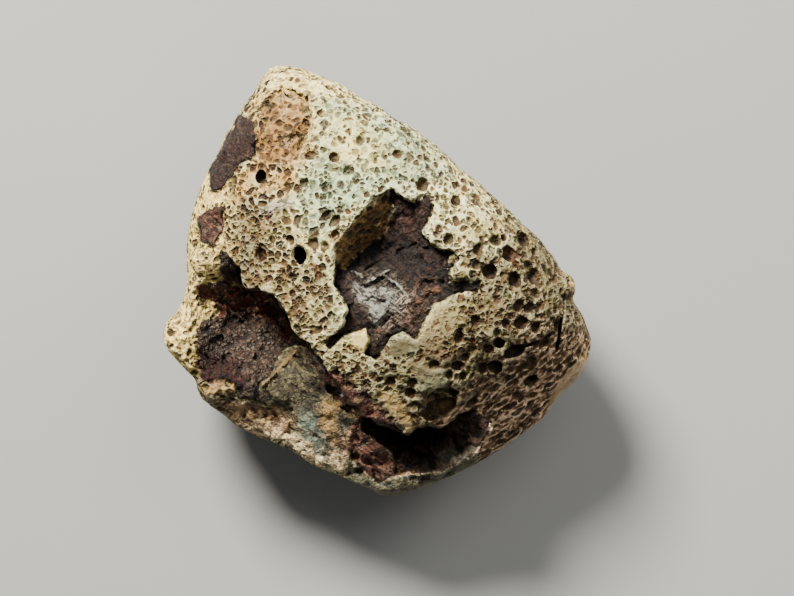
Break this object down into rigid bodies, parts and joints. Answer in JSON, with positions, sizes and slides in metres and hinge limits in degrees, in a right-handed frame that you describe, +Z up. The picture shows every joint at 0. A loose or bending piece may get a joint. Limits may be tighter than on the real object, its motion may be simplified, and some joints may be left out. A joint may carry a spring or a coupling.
{
  "type": "agate geode",
  "caption": "Rough agate geode nodule with a pitted cream rind, a star-shaped brown cavity, a broken shelf and a small cave, lying on a flat worn back.",
  "frame": {"origin": "centre of the bounding box in plan, on the surface that the nodule lies on", "axes": "+Z up, out of the broken pitted face, +Y towards the nodule's peak, +X towards its blunt right-hand corner"},
  "size_m": [0.04, 0.0402, 0.025],
  "materials": {
    "pitted_agate": "Rough cream to pale grey-green rind full of round pits with brown and rust floors, over dull purple-brown matrix in the hollows, with a little waxy honey-coloured chalcedony at one edge."
  },
  "bodies": {
    "root": {"agate_geode": "pitted_agate"}
  },
  "joints": []
}
